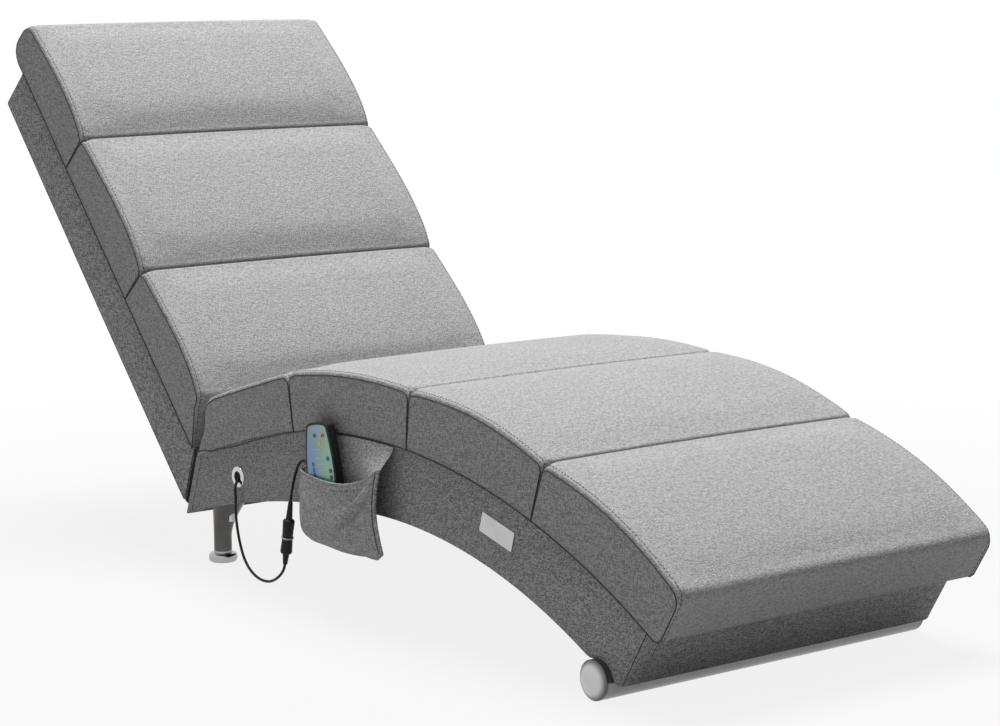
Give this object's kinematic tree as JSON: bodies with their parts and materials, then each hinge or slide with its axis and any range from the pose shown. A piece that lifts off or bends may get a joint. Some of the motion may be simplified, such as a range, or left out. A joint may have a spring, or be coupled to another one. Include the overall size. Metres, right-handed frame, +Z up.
{
  "type": "massage chaise",
  "caption": "Fixed-angle upholstered chaise on an arched base with a foot tube and rear legs, vibration motors in its pads and a wired handset in a side pocket.",
  "frame": {"origin": "on the floor, under the middle of the bounding box", "axes": "+Z up, +Y along the chaise towards the head end, +X across it; the pocket and the leads are on the -X side"},
  "size_m": [0.5934, 1.6296, 0.7952],
  "materials": {
    "pad_fabric": "woven melange, matt",
    "cover_fabric": "woven melange, matt",
    "dust_fabric": "spunbond, matt",
    "plywood": "raw",
    "softwood": "raw",
    "zinc_steel": "zinc plated",
    "satin_steel": "satin",
    "chrome_plate": "polished",
    "nickel": "polished",
    "weight_brass": "turned",
    "motor_plastic": "moulded",
    "black_plastic": "moulded satin",
    "circuit_board": "solder mask",
    "overlay_film": "printed film",
    "button_blue": "moulded",
    "button_red": "moulded",
    "button_yellow": "moulded",
    "button_navy": "moulded",
    "ring_plastic": "moulded",
    "lead_rubber": "satin",
    "satin_plate": "satin, bare"
  },
  "bodies": {
    "chair": {"back_cover": "cover_fabric", "back_front_panel": "plywood", "back_rails": "softwood", "back_rear_panel": "plywood", "back_side_boards": "plywood", "bare_plate": "satin_plate", "base_cover": "cover_fabric", "base_cross_rails": "softwood", "base_deck": "plywood", "base_dust_cover": "dust_fabric", "base_end_boards": "plywood", "base_side_board_left": "plywood", "base_side_board_right": "plywood", "chair_lead": "lead_rubber", "control_board": "circuit_board", "control_box": "black_plastic", "control_box_lid": "black_plastic", "coupling_ring": "ring_plastic", "eyelet": "nickel", "eyelet_washer": "nickel", "foot_caps": "satin_steel", "foot_tube": "satin_steel", "leg_blocks": "softwood", "leg_studs": "zinc_steel", "motor_cans": "zinc_steel", "motor_cases": "motor_plastic", "pad_back": "pad_fabric", "pad_calf": "pad_fabric", "pad_head": "pad_fabric", "pad_lumbar": "pad_fabric", "pad_seat": "pad_fabric", "pad_seat_rear": "pad_fabric", "pad_thigh": "pad_fabric", "pocket_back": "cover_fabric", "pocket_front": "cover_fabric", "power_inlet": "black_plastic", "rear_leg_left": "chrome_plate", "rear_leg_right": "chrome_plate", "socket": "black_plastic", "tie_bolts": "zinc_steel", "tie_plates": "zinc_steel", "tube_bolts": "zinc_steel", "tube_saddles": "softwood"},
    "handset": {"handset_rear_case": "black_plastic", "handset_front_case": "black_plastic", "handset_overlay": "overlay_film", "handset_board": "circuit_board", "handset_lead": "lead_rubber", "plug": "black_plastic"},
    "button_power_key": {"button_power": "button_blue"},
    "button_heat_key": {"button_heat": "button_red"},
    "button_light_key": {"button_light": "button_yellow"},
    "button_mode_key": {"button_mode": "button_blue"},
    "button_back_key": {"button_back": "button_navy"},
    "button_seat_key": {"button_seat": "button_navy"},
    "weight_seat": {"motor_weight_seat": "weight_brass"},
    "weight_calf": {"motor_weight_calf": "weight_brass"},
    "weight_lumbar": {"motor_weight_lumbar": "weight_brass"},
    "weight_back": {"motor_weight_back": "weight_brass"},
    "weight_neck": {"motor_weight_neck": "weight_brass"}
  },
  "joints": [
    {"name": "handset_lift", "type": "slide", "parent": "chair", "child": "handset", "axis": [0, -0.1736, 0.9848], "range_m": [0, 0.16]},
    {"name": "press_power", "type": "slide", "parent": "handset", "child": "button_power_key", "axis": [1, 0, 0], "range_m": [0, 0.0006], "stiffness_N_per_m": 900},
    {"name": "press_heat", "type": "slide", "parent": "handset", "child": "button_heat_key", "axis": [1, 0, 0], "range_m": [0, 0.0006], "stiffness_N_per_m": 900},
    {"name": "press_light", "type": "slide", "parent": "handset", "child": "button_light_key", "axis": [1, 0, 0], "range_m": [0, 0.0006], "stiffness_N_per_m": 900},
    {"name": "press_mode", "type": "slide", "parent": "handset", "child": "button_mode_key", "axis": [1, 0, 0], "range_m": [0, 0.0006], "stiffness_N_per_m": 900},
    {"name": "press_back", "type": "slide", "parent": "handset", "child": "button_back_key", "axis": [1, 0, 0], "range_m": [0, 0.0006], "stiffness_N_per_m": 900},
    {"name": "press_seat", "type": "slide", "parent": "handset", "child": "button_seat_key", "axis": [1, 0, 0], "range_m": [0, 0.0006], "stiffness_N_per_m": 900},
    {"name": "spin_seat", "type": "hinge", "parent": "chair", "child": "weight_seat", "pos_m": [0, -0.13397, 0.27639], "axis": [1, 0, 0], "continuous": true},
    {"name": "spin_calf", "type": "hinge", "parent": "chair", "child": "weight_calf", "pos_m": [0, -0.66378, 0.16905], "axis": [1, 0, 0], "continuous": true},
    {"name": "spin_lumbar", "type": "hinge", "parent": "chair", "child": "weight_lumbar", "pos_m": [0, 0.34982, 0.2958], "axis": [1, 0, 0], "continuous": true},
    {"name": "spin_back", "type": "hinge", "parent": "chair", "child": "weight_back", "pos_m": [0, 0.52869, 0.49377], "axis": [1, 0, 0], "continuous": true},
    {"name": "spin_neck", "type": "hinge", "parent": "chair", "child": "weight_neck", "pos_m": [0, 0.69388, 0.67659], "axis": [1, 0, 0], "continuous": true}
  ]
}
